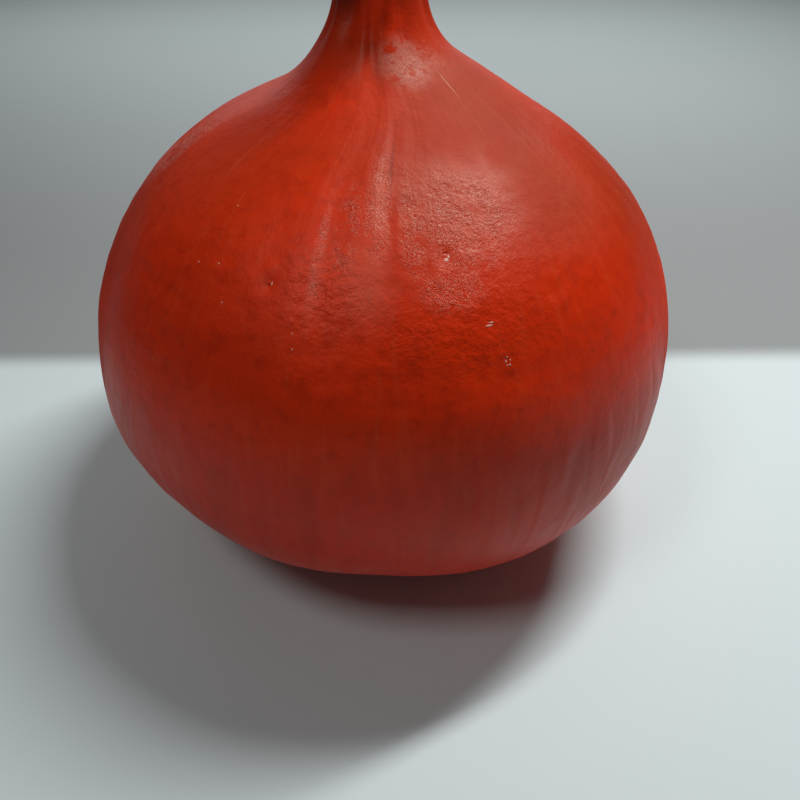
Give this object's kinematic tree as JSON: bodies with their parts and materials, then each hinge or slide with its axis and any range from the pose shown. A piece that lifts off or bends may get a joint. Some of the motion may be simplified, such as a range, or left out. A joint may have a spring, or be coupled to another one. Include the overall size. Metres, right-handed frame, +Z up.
{
  "type": "red kuri squash",
  "caption": "Onion-shaped red-orange winter squash with a fluted neck and a short corky stem, standing on the small flat spot at its blossom end.",
  "frame": {"origin": "on the table, under the middle of the squash's bounding box", "axes": "+Z up through the neck and the stem, +X towards the fuller side of the belly, -Y towards the viewer"},
  "size_m": [0.1606, 0.1596, 0.158],
  "materials": {
    "waxy_skin": "satin",
    "corky_stem": "matte"
  },
  "bodies": {
    "root": {"fruit": "waxy_skin", "stem": "corky_stem"}
  },
  "joints": []
}
